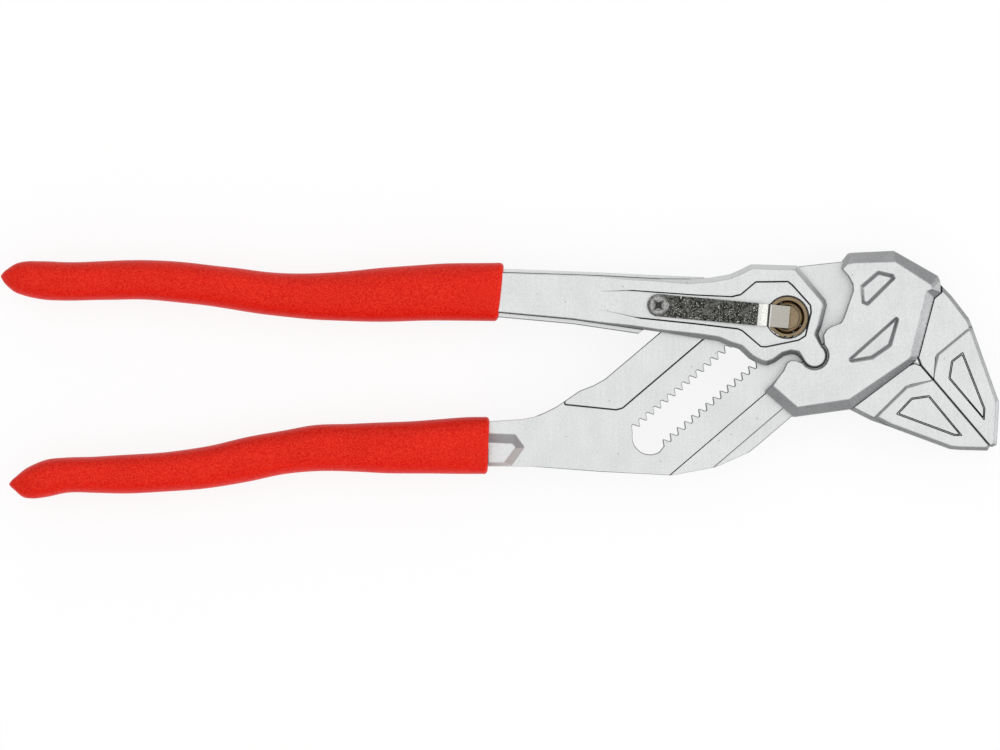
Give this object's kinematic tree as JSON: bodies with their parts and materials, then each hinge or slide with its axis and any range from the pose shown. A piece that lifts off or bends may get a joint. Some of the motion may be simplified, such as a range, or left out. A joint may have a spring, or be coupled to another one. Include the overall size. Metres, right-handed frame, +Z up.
{
  "type": "adjustable parallel-jaw pipe pliers",
  "caption": "Adjustable pipe pliers with smooth parallel jaws, a toothed slide with push-button lock, a leaf spring and red dipped grips.",
  "frame": {"origin": "middle of the overall box at the surface that the pliers lie on", "axes": "+X along the handles towards the jaws, +Y from the lower handle towards the upper handle, +Z up from the surface, out of the leaf spring side"},
  "size_m": [0.3, 0.0744, 0.0211],
  "materials": {
    "satin_steel": "satin chrome plated forging with fine linear polish marks",
    "red_vinyl": "dip-moulded vinyl with a fine grain",
    "bronze": "dull bronze-coloured hardened steel",
    "blackened_steel": "blackened steel, satin",
    "zinc_steel": "mottled zinc plate"
  },
  "bodies": {
    "lower_lever": {"lower_lever": "satin_steel", "lower_grip": "red_vinyl"},
    "pivot": {"pivot_bush": "bronze"},
    "sliding_jaw": {"sliding_jaw": "satin_steel"},
    "upper_handle": {"upper_handle": "satin_steel", "upper_grip": "red_vinyl", "spring_screw": "zinc_steel"},
    "lock_bolt": {"lock_bolt": "bronze", "push_button": "blackened_steel"},
    "leaf_spring": {"leaf_spring": "zinc_steel"}
  },
  "joints": [
    {"name": "adjust_slide", "type": "slide", "parent": "lower_lever", "child": "pivot", "axis": [-0.7604, -0.6494, 0], "range_m": [0, 0.03384]},
    {"name": "grip_hinge", "type": "hinge", "parent": "pivot", "child": "upper_handle", "pos_m": [0.0865, 0.01723, 0.01], "axis": [0, 0, 1], "range_deg": [-15, 0]},
    {"name": "jaw_stroke", "type": "slide", "parent": "pivot", "child": "sliding_jaw", "axis": [0.7604, 0.6494, 0], "range_m": [-0.0037, 0]},
    {"name": "lock_press", "type": "slide", "parent": "pivot", "child": "lock_bolt", "axis": [0, 0, 1], "range_m": [0, 0.0028], "stiffness_N_per_m": 1500, "springref_m": -0.001},
    {"name": "spring_flex", "type": "hinge", "parent": "upper_handle", "child": "leaf_spring", "pos_m": [0.04776, 0.02082, 0.0185], "axis": [-0.0924, -0.9957, 0], "range_deg": [0, 4.7]}
  ],
  "couplings": [
    {"joint": "jaw_stroke", "follows": "grip_hinge", "m_per_rad": 0.0138},
    {"joint": "spring_flex", "follows": "lock_press", "rad_per_m": 28.5}
  ]
}
